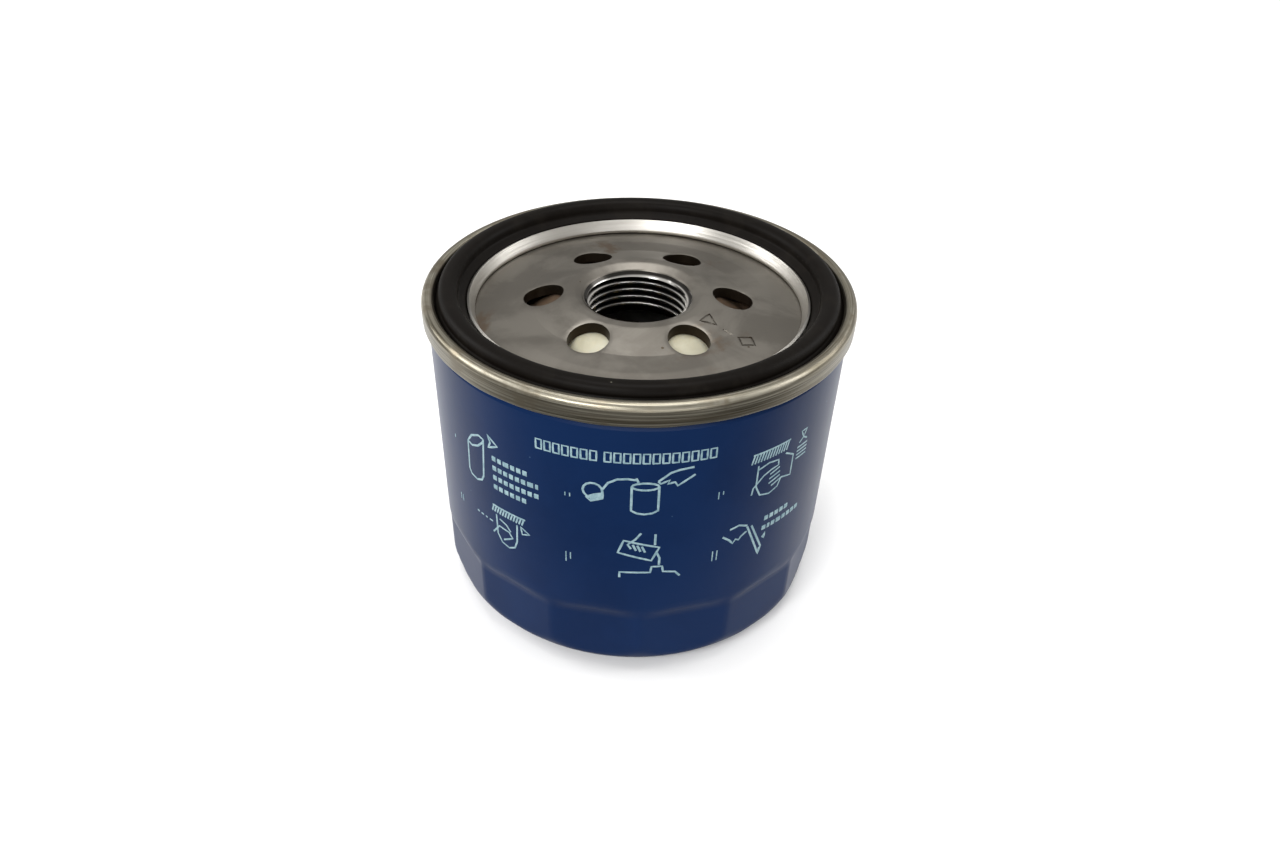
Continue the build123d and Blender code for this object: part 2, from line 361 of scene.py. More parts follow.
def make_mouth_thread(material):
    """Right-hand helical ridge that runs up the collar's bore and dies out in the countersink."""
    turns = 4.75
    steps_per_turn = 96
    bottom = collar_bottom + 1.7
    shape = bmesh.new()
    section = [
        (thread_root + 0.06, -0.7),
        (thread_crest, -0.19),
        (thread_crest, 0.19),
        (thread_root + 0.06, 0.7),
    ]
    corners = [shape.verts.new((radius * MM, 0, (bottom + height) * MM)) for radius, height in section]
    ridge_end = shape.faces.new(corners)
    bmesh.ops.spin(
        shape,
        geom=[ridge_end, *ridge_end.edges, *ridge_end.verts],
        cent=(0, 0, 0),
        axis=(0, 0, 1),
        dvec=(0, 0, thread_pitch / steps_per_turn * MM),
        angle=math.tau * turns,
        steps=int(steps_per_turn * turns),
    )
    for vert in shape.verts:
        countersink = (thread_crest + vert.co.z / MM - (hub_top - 1.9)) * MM
        radius = vert.co.to_2d().length
        if radius < countersink:
            vert.co.x *= countersink / radius
            vert.co.y *= countersink / radius
    bmesh.ops.recalc_face_normals(shape, faces=shape.faces)
    return piece("mouth_thread", shape, material, slot="bare_steel", crease=25)


def make_drain_valve(material):
    """Silicone diaphragm under the inlets: a clamped sleeve with its web, and the sealing lip."""
    hub_underside = hub_top - plate_thickness
    trough = hub_underside - 3.7
    web = rounded(
        [
            (12.3, 56),
            (12.3, hub_underside),
            (13.25, hub_underside),
            (13.8, hub_underside - 0.4),
            (16.2, hub_underside - 1.0),
            (20.7, trough),
            (22.25, trough),
            (22.25, trough - 1.15),
            (20.4, trough - 1.15),
            (15.8, hub_underside - 2.2),
            (13.5, hub_underside - 2.0),
            (13.5, 52.05),
            (12.3, 52.05),
            (12.3, 56),
        ],
        [0.2, 0.2, 0.3, 2, 2, 0.1, 0.1, 2, 1.5, 0.5, 0.1, 0.1],
    )
    sleeve = piece(
        "drain_valve_sleeve",
        turned(web[:-1], 160),
        material,
        replaced=["anti_drain_sleeve"],
        slot="cream_silicone",
    )
    tip = plate_top + 0.85 - plate_thickness - 0.02
    lip_outline = rounded(
        [
            (22.4, trough - 0.6),
            (22.4, trough - 1.15),
            (24.3, trough - 0.6),
            (25.3, tip - 0.6),
            (25.0, tip),
            (24.3, tip),
            (23.6, trough + 0.6),
            (22.4, trough),
            (22.4, trough - 0.6),
        ],
        [0.1, 1, 0.4, 0.15, 0.2, 1, 0.1],
    )
    lip = piece(
        "drain_valve_lip",
        turned(lip_outline[:-1], 160),
        material,
        body="anti_drain_lip",
        replaced=["anti_drain_lip"],
        slot="cream_silicone",
    )
    return sleeve, lip


def make_bypass_spring(material):
    """Compression coil of the bypass valve, at the length of the part it replaces."""
    low, high = (corner[2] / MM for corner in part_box("bypass_spring"))
    coil_radius, wire_radius = 6, 0.45
    turns, steps_per_turn, wire_sides = 5, 64, 14
    steps = turns * steps_per_turn
    shape = bmesh.new()
    corners = []
    for side in range(wire_sides):
        around = math.tau * side / wire_sides
        out = coil_radius + wire_radius * math.cos(around)
        up = low + wire_radius * (1 + math.sin(around))
        corners.append(shape.verts.new((out * MM, 0, up * MM)))
    wire_end = shape.faces.new(corners)
    bmesh.ops.spin(
        shape,
        geom=[wire_end, *wire_end.edges, *wire_end.verts],
        cent=(0, 0, 0),
        axis=(0, 0, 1),
        dvec=(0, 0, (high - low - 2 * wire_radius) / steps * MM),
        angle=math.tau * turns,
        steps=steps,
    )
    bmesh.ops.recalc_face_normals(shape, faces=shape.faces)
    coil = piece("bypass_coil", shape, material, replaced=["bypass_spring"], slot="bright_steel", crease=60)
    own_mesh(coil)
    return coil


# ---------------------------------------------------------------- printing on the can


def round_strokes(name, strokes, width):
    """Bmesh of rounded rods, in millimetres, along flat strokes of (across, up) points."""
    curve = bpy.data.curves.new(name, "CURVE")
    curve.dimensions = "3D"
    curve.bevel_depth = width / 2
    curve.bevel_resolution = 1
    curve.use_fill_caps = True
    for stroke in strokes:
        points = divided([Vector(point) for point in stroke], 1.2)
        line = curve.splines.new("POLY")
        if (points[0] - points[-1]).length < 0.01:
            line.use_cyclic_u = True
            points.pop()
        line.points.add(len(points) - 1)
        for spot, point in zip(line.points, points):
            spot.co = (point.x, point.y, 0, 1)
    holder = bpy.data.objects.new(name, curve)
    bpy.context.scene.collection.objects.link(holder)
    flat = bpy.data.meshes.new_from_object(holder.evaluated_get(bpy.context.evaluated_depsgraph_get()))
    shape = bmesh.new()
    shape.from_mesh(flat)
    bpy.data.objects.remove(holder)
    bmesh.ops.remove_doubles(shape, verts=shape.verts, dist=1e-4)
    bmesh.ops.recalc_face_normals(shape, faces=shape.faces)
    return shape


def printed(name, bearing, height, strokes, material, width=0.42):
    """Ink strokes wrapped round the can; bearing is in degrees from the front, towards +X."""
    shape = round_strokes(name, strokes, width)
    for vert in shape.verts:
        turn = math.radians(bearing) + vert.co.x / can_radius
        out = can_radius + 0.01 + vert.co.z * 0.12
        vert.co = Vector((out * math.sin(turn), -out * math.cos(turn), height + vert.co.y)) * MM
    return piece(name, shape, material)


def boxes(start, low, count, step, size):
    """Row of small outlined boxes that stands for a word."""
    wide, tall = size
    row = []
    for number in range(count):
        left = start + number * step
        right, high = left + wide, low + tall
        row.append([(left, low), (left, high), (right, high), (right, low), (left - 0.1, low)])
    return row


def dashes(start, low, lengths, gap=0.4):
    """Row of short dashes that stands for a line of small print."""
    row = []
    for length in lengths:
        row.append([(start, low), (start + length, low)])
        start += length + gap
    return row


def pips(count):
    """Dots laid out in two columns, which number a picture."""
    return [
        [(0.85 * (number % 2) - 0.1, -0.8 * (number // 2)), (0.85 * (number % 2) + 0.1, -0.8 * (number // 2))]
        for number in range(count)
    ]


def ring(across, up, wide, tall, steps=14):
    """Closed oval stroke."""
    return [
        (across + wide * math.cos(math.tau * step / steps), up + tall * math.sin(math.tau * step / steps))
        for step in range(steps + 1)
    ]


def hatched(left, right, low, tall, count, lean=0.5):
    """Bar of slanting ticks under a line."""
    ticks = [[(left, low + tall), (right, low + tall)]]
    for number in range(count):
        spot = left + (right - left) * (number + 0.5) / count
        ticks.append([(spot, low + tall), (spot - lean, low)])
    return ticks


def make_printing(material):
    """Heading, six small fitting pictures with dots for numbers, and dashes for the small print."""
    heading = boxes(-15.4, 0, 7, 1.6, (1.05, 1.9)) + boxes(-3.4, 0, 12, 1.6, (1.05, 1.9))
    printed("printed_heading", -3.1, 51.8, heading, material, 0.36)
    for number in range(6):
        bearing = -57.3 + 39.2 * (number % 3)
        height = 43.6 - 13.7 * (number // 3)
        printed(f"picture_number_{number + 1}", bearing, height, pips(number + 1), material, 0.78)

    look_at_gasket = [
        [(-2.2, 3.6), (-2.5, -2.8), (-1.9, -3.8), (-0.2, -4.1), (1.2, -3.4), (1.8, -2.2), (2.5, 6.2)],
        [(-2.2, 3.6), (-1.0, 3.2), (0.8, 4.0), (2.1, 5.3), (2.5, 6.2), (1.2, 6.5), (-0.9, 5.4), (-2.2, 3.6)],
        [(3.7, 7.9), (6.0, 6.4), (3.7, 5.2), (4.3, 6.5), (3.7, 7.9)],
    ]
    printed("picture_look_at_gasket", -46.8, 42, look_at_gasket, material)
    small_print = (
        dashes(0, 6.9, [0.9, 0.9, 1.3, 0.9, 0.9, 0.9])
        + dashes(0, 4.8, [0.9, 0.9, 0.9, 0.9, 0.9, 0.9, 1.2, 0.6])
        + dashes(0, 2.7, [0.9, 0.9, 0.9, 0.9, 0.9, 0.9, 0.9, 0.9])
        + dashes(0, 0.6, [0.9, 0.9, 0.9, 0.9, 0.9, 0.9])
    )
    printed("small_print_gasket", -40.2, 38.4, small_print, material, 1.05)

    fill_with_oil = [
        ring(0, 2.6, 2.3, 0.75),
        [(-2.3, 2.6), (-2.3, -2.6), (-1.3, -3.2), (0, -3.4), (1.3, -3.2), (2.3, -2.6), (2.3, 2.6)],
        ring(-8.9, 1.1, 1.7, 1.6),
        [(-10.0, -0.5), (-9.2, -1.2), (-7.2, -0.4), (-7.1, 0.8), (-8.8, 0.2), (-10.0, -0.5)],
        [(-9.7, -0.5), (-7.5, 0.3)],
        [(-9.3, -0.9), (-7.3, -0.1)],
        [(-7.2, 1.6), (-6.3, 3.1), (-4.8, 4.0), (-3.0, 4.2), (-1.6, 4.0)],
        [(-1.6, 4.4), (-1.2, 3.5)],
        [(2.1, 3.7), (4.1, 5.4), (5.6, 5.9), (8.0, 6.2)],
        [(2.1, 3.7), (2.5, 3.2), (4.0, 3.9), (3.7, 3.1), (4.9, 3.4), (5.4, 2.6), (8.3, 4.6)],
    ]
    printed("picture_fill_with_oil", 2.1, 44.3, fill_with_oil, material)

    screw_on = [
        *hatched(-4.7, 3.8, 2.9, 1.9, 13),
        [(-3.3, 2.1), (-3.3, -2.5), (-2.2, -4.7), (0, -5.3), (1.9, -4.6), (2.6, -2.9)],
        [
            (-3.3, 1.2),
            (-1.0, 1.9),
            (1.3, 1.6),
            (1.5, 0.4),
            (-0.2, 0.1),
            (-1.9, -0.6),
            (-3.9, -2.6),
            (-4.1, -4.0),
        ],
        [(-0.3, -0.9), (1.9, -0.2)],
        [(-0.4, -1.9), (2.1, -1.2)],
        [(-0.4, -2.9), (2.2, -2.1)],
        [(0.3, -3.7), (2.6, -2.9), (5.2, -3.6), (5.2, 0.9), (3.0, 2.2)],
        [(6.9, 4.9), (7.7, 3.4), (8.5, 4.9), (6.9, 4.9)],
        [(6.6, 2.6), (7.7, 3.4), (8.9, 2.6)],
        [(6.2, 1.7), (9.2, 1.7)],
        [(6.2, 0.9), (9.2, 0.9)],
        [(6.2, 0.1), (9.2, 0.1)],
        [(6.2, -0.7), (9.2, -0.7)],
    ]
    printed("picture_screw_on", 37, 45, screw_on, material, 0.34)

    tighten = [
        *hatched(-3.6, 4.1, 2.4, 1.5, 12),
        [(-2.8, 1.9), (-2.7, -2.6), (-1.7, -4.3), (0, -4.8), (1.4, -4.0), (2.0, -2.2), (2.2, 1.9)],
        [(-3.9, -2.9), (-2.2, -0.6), (0.2, -0.9), (1.0, -2.0), (-1.2, -3.4)],
        [(-2.0, 1.2), (-0.4, 0.6), (0.6, -0.6)],
        [(3.0, 1.9), (3.3, 0.2), (4.9, 0.8), (3.0, 1.9)],
        *dashes(-8.4, -0.4, [0.6, 0.7, 0.5, 0.9], 0.6),
    ]
    printed("picture_tighten", -36, 30.5, tighten, material, 0.36)

    top_up = [
        [(-3.3, 4.3), (3.0, 2.7), (1.7, -0.4), (-4.3, 1.4), (-3.3, 4.3)],
        [(-0.3, 6.1), (-1.3, 4.6), (-2.6, 3.4), (-2.0, 2.4)],
        [(-1.7, 3.4), (-1.1, 2.0)],
        [(-0.9, 3.2), (-0.3, 1.8)],
        [(-0.1, 3.0), (0.5, 1.6)],
        [(2.2, 5.8), (2.2, 3.3)],
        [(2.6, 1.4), (3.1, 0.2), (3.1, -1.5)],
        [
            (-3.9, -4.6),
            (-3.9, -3.3),
            (1.6, -3.3),
            (1.8, -1.9),
            (3.7, -1.9),
            (3.9, -3.2),
            (6.1, -3.5),
            (7.0, -4.6),
        ],
    ]
    printed("picture_top_up", 2, 30.5, top_up, material)

    check_level = [
        [(-5.0, 2.6), (-3.6, 1.4), (-2.8, 0.4), (-2.3, 1.2), (-1.6, 0.8), (-1.1, 1.5), (0, 2.2)],
        [(-3.7, 3.9), (-1.8, 4.3), (0, 3.5)],
        [(0, 3.3), (2.5, -2.6), (3.5, -5.0), (3.9, -3.2), (1.0, 3.1)],
        [(3.4, -4.4), (3.6, -3.4)],
        [(4.0, -1.0), (4.6, -0.2), (4.5, -1.5), (4.0, -1.0)],
    ]
    printed("picture_check_level", 31, 30.5, check_level, material)
    small_print = (
        dashes(3.9, 2.9, [0.9, 0.9, 0.9, 0.9, 0.9])
        + dashes(3.6, 0.7, [0.9, 0.6, 0.9, 1.2, 0.9, 0.9, 0.9, 0.9])
    )
    printed("small_print_level", 31, 31, small_print, material, 1.05)


# ---------------------------------------------------------------- shader groups


def add_node(tree, kind, inputs=None, **settings):
    """New shader node with its settings and its unlinked input values."""
    made = tree.nodes.new(kind)
    for name, value in settings.items():
        setattr(made, name, value)
    for name, value in (inputs or {}).items():
        made.inputs[name].default_value = value
    return made


def new_group(name, inputs, outputs):
    """Empty shader group with float inputs and outputs."""
    group = bpy.data.node_groups.new(name, "ShaderNodeTree")
    for label, value in inputs.items():
        socket = group.interface.new_socket(label, in_out="INPUT", socket_type="NodeSocketFloat")
        socket.default_value = value
    for label in outputs:
        group.interface.new_socket(label, in_out="OUTPUT", socket_type="NodeSocketFloat")
    return group, group.nodes.new("NodeGroupInput"), group.nodes.new("NodeGroupOutput")


def lathe_marks_group():
    """Fine streaks round the filter's axis, and the distance from that axis in millimetres."""
    group, entry, exit_ = new_group("lathe_marks", {"Fineness": 3000.0}, ["Streaks", "Radius"])
    place = add_node(group, "ShaderNodeTexCoord")
    parts = add_node(group, "ShaderNodeSeparateXYZ")
    flat = add_node(group, "ShaderNodeCombineXYZ")
    radius = add_node(group, "ShaderNodeVectorMath", operation="LENGTH")
    direction = add_node(group, "ShaderNodeVectorMath", operation="NORMALIZE")
    spread = add_node(group, "ShaderNodeVectorMath", {"Scale": 1.6}, operation="SCALE")
    depth = add_node(group, "ShaderNodeMath", operation="ADD")
    fine = add_node(group, "ShaderNodeMath", operation="MULTIPLY")
    across = add_node(group, "ShaderNodeCombineXYZ")
    where = add_node(group, "ShaderNodeVectorMath", operation="ADD")
    noise = add_node(group, "ShaderNodeTexNoise", {"Scale": 1.0, "Detail": 3.0, "Roughness": 0.6})
    millimetres = add_node(group, "ShaderNodeMath", {1: 1000.0}, operation="MULTIPLY")
    link = group.links.new
    link(place.outputs["Object"], parts.inputs[0])
    link(parts.outputs["X"], flat.inputs["X"])
    link(parts.outputs["Y"], flat.inputs["Y"])
    link(flat.outputs[0], radius.inputs[0])
    link(flat.outputs[0], direction.inputs[0])
    link(direction.outputs["Vector"], spread.inputs[0])
    link(radius.outputs["Value"], depth.inputs[0])
    link(parts.outputs["Z"], depth.inputs[1])
    link(depth.outputs[0], fine.inputs[0])
    link(entry.outputs["Fineness"], fine.inputs[1])
    link(fine.outputs[0], across.inputs["Z"])
    link(spread.outputs["Vector"], where.inputs[0])
    link(across.outputs[0], where.inputs[1])
    link(where.outputs["Vector"], noise.inputs["Vector"])
    link(noise.outputs["Fac"], exit_.inputs["Streaks"])
    link(radius.outputs["Value"], millimetres.inputs[0])
    link(millimetres.outputs[0], exit_.inputs["Radius"])
    return group


def patches_group():
    """Soft cloudy patches: Mask is 1 where the cloud is over Threshold."""
    inputs = {"Scale": 60.0, "Threshold": 0.5, "Softness": 0.1}
    group, entry, exit_ = new_group("patches", inputs, ["Mask", "Cloud"])
    place = add_node(group, "ShaderNodeTexCoord")
    noise = add_node(group, "ShaderNodeTexNoise", {"Detail": 5.0, "Roughness": 0.6, "Distortion": 0.4})
    upper = add_node(group, "ShaderNodeMath", operation="ADD")
    mask = add_node(group, "ShaderNodeMapRange", interpolation_type="SMOOTHSTEP")
    link = group.links.new
    link(place.outputs["Object"], noise.inputs["Vector"])
    link(entry.outputs["Scale"], noise.inputs["Scale"])
    link(noise.outputs["Fac"], mask.inputs["Value"])
    link(entry.outputs["Threshold"], mask.inputs["From Min"])
    link(entry.outputs["Threshold"], upper.inputs[0])
    link(entry.outputs["Softness"], upper.inputs[1])
    link(upper.outputs[0], mask.inputs["From Max"])
    link(mask.outputs["Result"], exit_.inputs["Mask"])
    link(noise.outputs["Fac"], exit_.inputs["Cloud"])
    return group


def specks_group():
    """Scattered small dots, such as dust or pits: Mask is 1 inside a dot."""
    group, entry, exit_ = new_group("specks", {"Scale": 500.0, "Size": 0.12, "Amount": 0.2}, ["Mask"])
    place = add_node(group, "ShaderNodeTexCoord")
    cells = add_node(group, "ShaderNodeTexVoronoi")
    channels = add_node(group, "ShaderNodeSeparateColor")
    inside = add_node(group, "ShaderNodeMath", operation="LESS_THAN")
    chosen = add_node(group, "ShaderNodeMath", operation="LESS_THAN")
    both = add_node(group, "ShaderNodeMath", operation="MULTIPLY")
    link = group.links.new
    link(place.outputs["Object"], cells.inputs["Vector"])
    link(entry.outputs["Scale"], cells.inputs["Scale"])
    link(cells.outputs["Distance"], inside.inputs[0])
    link(entry.outputs["Size"], inside.inputs[1])
    link(cells.outputs["Color"], channels.inputs["Color"])
    link(channels.outputs["Red"], chosen.inputs[0])
    link(entry.outputs["Amount"], chosen.inputs[1])
    link(inside.outputs[0], both.inputs[0])
    link(chosen.outputs[0], both.inputs[1])
    link(both.outputs[0], exit_.inputs["Mask"])
    return group


GROUPS = {"lathe_marks": lathe_marks_group(), "patches": patches_group(), "specks": specks_group()}


# ---------------------------------------------------------------- materials


def use_group(tree, name, **values):
    """A shared group placed in a material with its own values."""
    made = add_node(tree, "ShaderNodeGroup", node_tree=GROUPS[name])
    for label, value in values.items():
        made.inputs[label].default_value = value
    return made


def new_material(name, **surface):
    """Material whose shader has the given plain values; colours are linear."""
    material = bpy.data.materials.new(name)
    material.use_nodes = True
    shader = material.node_tree.nodes["Principled BSDF"]
    for label, value in surface.items():
        shader.inputs[label.replace("_", " ")].default_value = value
    return material, material.node_tree, shader


def colour_between(tree, mask, first, second):
    """Colour that goes from first to second with the mask; either may be a colour or an output."""
    mix = add_node(tree, "ShaderNodeMix", data_type="RGBA")
    tree.links.new(mask, mix.inputs["Factor"])
    for socket, colour in ((mix.inputs[6], first), (mix.inputs[7], second)):
        if isinstance(colour, bpy.types.NodeSocket):
            tree.links.new(colour, socket)
        else:
            socket.default_value = (*colour, 1)
    return mix.outputs[2]


def between(tree, value, low, high, start=0.0, end=1.0):
    """The value mapped from start..end to low..high."""
    limits = {"From Min": start, "From Max": end, "To Min": low, "To Max": high}
    scale = add_node(tree, "ShaderNodeMapRange", limits)
    tree.links.new(value, scale.inputs["Value"])
    return scale.outputs["Result"]


def bumped(tree, shader, *layers):
    """Stacks bumps of (height output, strength, millimetres) into the shader's normal."""
    below = None
    for height, strength, depth in layers:
        bump = add_node(tree, "ShaderNodeBump", {"Strength": strength, "Distance": depth * MM})
        tree.links.new(height, bump.inputs["Height"])
        if below:
            tree.links.new(below, bump.inputs["Normal"])
        below = bump.outputs["Normal"]
    tree.links.new(below, shader.inputs["Normal"])


def blue_paint():
    """Baked gloss enamel with orange peel and a little dust."""
    material, tree, shader = new_material("blue_enamel", Specular_IOR_Level=0.12)
    clouds = use_group(tree, "patches", Scale=35.0, Threshold=0.35, Softness=0.3)
    peel = use_group(tree, "patches", Scale=700.0)
    dust = use_group(tree, "specks", Scale=330.0, Size=0.05, Amount=0.12)
    paint = colour_between(tree, clouds.outputs["Mask"], (0.0014, 0.0135, 0.059), (0.0022, 0.0170, 0.071))
    paint = colour_between(tree, dust.outputs["Mask"], paint, (0.04, 0.08, 0.15))
    tree.links.new(paint, shader.inputs["Base Color"])
    tree.links.new(between(tree, clouds.outputs["Cloud"], 0.26, 0.36), shader.inputs["Roughness"])
    bumped(tree, shader, (peel.outputs["Cloud"], 0.25, 0.02))
    return material


def plate_steel():
    """Satin pressed steel with oil stains, small pits and faint turning marks; painted shade on its walls and
    in the threaded bore, painted highlights on the thread crests.
    """
    material, tree, shader = new_material("pressed_steel", Metallic=1.0)
    clouds = use_group(tree, "patches", Scale=90.0, Threshold=0.42, Softness=0.2)
    stains = use_group(tree, "patches", Scale=55.0, Threshold=0.62, Softness=0.08)
    grain = use_group(tree, "patches", Scale=1500.0)
    pits = use_group(tree, "specks", Scale=260.0, Size=0.07, Amount=0.2)
    marks = use_group(tree, "lathe_marks", Fineness=2500.0)
    steel = colour_between(tree, clouds.outputs["Mask"], (0.165, 0.152, 0.132), (0.215, 0.200, 0.175))
    steel = colour_between(tree, stains.outputs["Mask"], steel, (0.15, 0.115, 0.085))
    steel = colour_between(tree, pits.outputs["Mask"], steel, (0.09, 0.07, 0.05))
    # Painted shade: faces whose true normal points sideways or downwards, such as the inlet walls, are
    # painted a near-black brown.
    facing = add_node(tree, "ShaderNodeNewGeometry")
    upwards = add_node(tree, "ShaderNodeSeparateXYZ")
    tree.links.new(facing.outputs["True Normal"], upwards.inputs[0])
    wall_shade = between(tree, upwards.outputs["Z"], 1, 0, 0.2, 0.6)
    # Painted light in the bore: the collar's bore and the thread valleys are painted near black as shade, and
    # the thread crests are painted nearly white as highlights.
    in_bore = between(tree, marks.outputs["Radius"], 1, 0, 10.02, 10.16)
    steel = colour_between(tree, wall_shade, steel, (0.045, 0.035, 0.025))
    on_crest = between(tree, marks.outputs["Radius"], 1, 0, 9.35, 9.6)
    thread = colour_between(tree, on_crest, (0.045, 0.042, 0.038), (0.72, 0.70, 0.67))
    steel = colour_between(tree, in_bore, steel, thread)
    tree.links.new(steel, shader.inputs["Base Color"])
    satin = between(tree, clouds.outputs["Cloud"], 0.38, 0.56)
    polish = add_node(tree, "ShaderNodeMix", {"B": 0.2})
    tree.links.new(in_bore, polish.inputs["Factor"])
    tree.links.new(satin, polish.inputs["A"])
    tree.links.new(polish.outputs["Result"], shader.inputs["Roughness"])
    bumped(
        tree,
        shader,
        (grain.outputs["Cloud"], 0.15, 0.03),
        (marks.outputs["Streaks"], 0.10, 0.03),
        (clouds.outputs["Cloud"], 0.2, 0.15),
    )
    return material


def seam_steel():
    """Bare rolled steel: streaked and tarnished on the rim, cleaner and brighter on the inner flange, with
    painted shade on the rim's sideways-facing faces.
    """
    material, tree, shader = new_material("rolled_steel", Metallic=1.0)
    marks = use_group(tree, "lathe_marks", Fineness=5200.0)
    broad = use_group(tree, "lathe_marks", Fineness=1500.0)
    tarnish = use_group(tree, "patches", Scale=120.0, Threshold=0.45, Softness=0.2)
    rim_side = between(tree, marks.outputs["Radius"], 0, 1, 35.5, 36.5)
    contrast = between(tree, marks.outputs["Streaks"], 0, 1, 0.35, 0.65)
    wide_streaks = between(tree, broad.outputs["Streaks"], 0, 0.7, 0.5, 0.75)
    streaked = colour_between(tree, contrast, (0.10, 0.088, 0.062), (0.47, 0.44, 0.36))
    streaked = colour_between(tree, wide_streaks, streaked, (0.13, 0.105, 0.07))
    streaked = colour_between(tree, tarnish.outputs["Mask"], streaked, (0.22, 0.19, 0.14))
    # Painted shade: the further a rim face turns from upwards to sideways or down, the more its streaked
    # colour is painted towards a dark streaked tone.
    facing = add_node(tree, "ShaderNodeNewGeometry")
    upwards = add_node(tree, "ShaderNodeSeparateXYZ")
    tree.links.new(facing.outputs["Normal"], upwards.inputs[0])
    side = between(tree, upwards.outputs["Z"], 0.55, 0, -0.1, 0.5)
    side_shade_colour = colour_between(tree, contrast, (0.030, 0.027, 0.018), (0.080, 0.072, 0.050))
    streaked = colour_between(tree, side, streaked, side_shade_colour)
    clean = colour_between(tree, broad.outputs["Streaks"], (0.50, 0.48, 0.44), (0.66, 0.64, 0.60))
    tree.links.new(colour_between(tree, rim_side, clean, streaked), shader.inputs["Base Color"])
    tree.links.new(between(tree, marks.outputs["Streaks"], 0.24, 0.46), shader.inputs["Roughness"])
    bumped(tree, shader, (marks.outputs["Streaks"], 0.55, 0.05), (broad.outputs["Streaks"], 0.4, 0.1))
    return material


def moulded_rubber():
    """Black nitrile rubber, matte, with faint flow marks and specks of dust."""
    material, tree, shader = new_material("moulded_rubber", Specular_IOR_Level=0.06)
    dust = use_group(tree, "specks", Scale=420.0, Size=0.06, Amount=0.10)
    clouds = use_group(tree, "patches", Scale=200.0, Threshold=0.45, Softness=0.3)
    marks = use_group(tree, "lathe_marks", Fineness=1800.0)
    rubber = colour_between(tree, clouds.outputs["Mask"], (0.0042, 0.0032, 0.0025), (0.0075, 0.0060, 0.0046))
    rubber = colour_between(tree, dust.outputs["Mask"], rubber, (0.08, 0.075, 0.06))
    tree.links.new(rubber, shader.inputs["Base Color"])
    tree.links.new(between(tree, clouds.outputs["Cloud"], 0.38, 0.55), shader.inputs["Roughness"])
    bumped(tree, shader, (marks.outputs["Streaks"], 0.08, 0.05), (clouds.outputs["Cloud"], 0.15, 0.03))
    return material


def cream_silicone():
    """Cream silicone, clean in front and darkened towards the back by painted shade, where it lies under the
    plate.
    """
    material, tree, shader = new_material(
        "cream_silicone", Subsurface_Weight=0.15, Subsurface_Scale=0.002, Specular_IOR_Level=0.45
    )
    shader.inputs["Subsurface Radius"].default_value = (1.0, 0.7, 0.4)
    clouds = use_group(tree, "patches", Scale=130.0, Threshold=0.45, Softness=0.25)
    place = add_node(tree, "ShaderNodeTexCoord")
    parts = add_node(tree, "ShaderNodeSeparateXYZ")
    tree.links.new(place.outputs["Object"], parts.inputs[0])
    # Painted shade: between Y = -8 mm and -2 mm the cream turns into a dark brown that stands for the shade
    # under the plate, and everything further back is painted that dark brown.
    back_shade_mask = between(tree, parts.outputs["Y"], 0, 1, -0.008, -0.002)
    clean = colour_between(tree, clouds.outputs["Mask"], (0.50, 0.475, 0.36), (0.42, 0.385, 0.265))
    back_shade_colour = colour_between(tree, clouds.outputs["Mask"], (0.075, 0.050, 0.032), (0.030, 0.020, 0.014))
    tree.links.new(colour_between(tree, back_shade_mask, clean, back_shade_colour), shader.inputs["Base Color"])
    tree.links.new(between(tree, clouds.outputs["Cloud"], 0.30, 0.45), shader.inputs["Roughness"])
    bumped(tree, shader, (clouds.outputs["Cloud"], 0.2, 0.05))
    return material


def plain_finish(name, first, second, scale, rough, metallic=0.0, streaks=0.0):
    """Finish of a part inside the can: two tones in soft patches, with grain or turning marks."""
    material, tree, shader = new_material(name, Metallic=metallic)
    clouds = use_group(tree, "patches", Scale=scale, Threshold=0.4, Softness=0.25)
    tree.links.new(colour_between(tree, clouds.outputs["Mask"], first, second), shader.inputs["Base Color"])
    roughness = between(tree, clouds.outputs["Cloud"], rough - 0.08, rough + 0.08)
    tree.links.new(roughness, shader.inputs["Roughness"])
    marks = use_group(tree, "lathe_marks", Fineness=3000.0)
    bumped(tree, shader, (clouds.outputs["Cloud"], 0.25, 0.05), (marks.outputs["Streaks"], streaks, 0.03))
    return material


def printing_ink():
    """Pale screen-printed ink, thin and slightly uneven."""
    material, tree, shader = new_material("pale_ink", Specular_IOR_Level=0.3)
    clouds = use_group(tree, "patches", Scale=900.0, Threshold=0.35, Softness=0.3)
    tree.links.new(
        colour_between(tree, clouds.outputs["Mask"], (0.19, 0.31, 0.36), (0.32, 0.46, 0.50)),
        shader.inputs["Base Color"],
    )
    tree.links.new(between(tree, clouds.outputs["Cloud"], 0.4, 0.6), shader.inputs["Roughness"])
    return material


# ---------------------------------------------------------------- the object

enamel = blue_paint()
pressed = plate_steel()
rolled = seam_steel()
rubber = moulded_rubber()
silicone = cream_silicone()
ink = printing_ink()
inner_steel = plain_finish("plated_steel", (0.16, 0.155, 0.15), (0.24, 0.235, 0.225), 150, 0.35, 1.0, 0.2)
spring_steel = plain_finish("spring_steel", (0.20, 0.19, 0.18), (0.32, 0.30, 0.28), 180, 0.4, 1.0, 0.1)
paper = plain_finish("resin_paper", (0.62, 0.44, 0.17), (0.72, 0.54, 0.25), 700, 0.8)
glue = plain_finish("cap_glue", (0.10, 0.09, 0.08), (0.16, 0.15, 0.13), 250, 0.6)
sealant = plain_finish("seam_sealant", (0.03, 0.03, 0.035), (0.06, 0.06, 0.07), 300, 0.55)

make_can(enamel)
make_seaming_lid(rolled)
make_gasket(rubber)
make_base_plate(pressed)
make_mouth_thread(pressed)
make_drain_valve(silicone)
make_bypass_spring(spring_steel)
make_printing(ink)

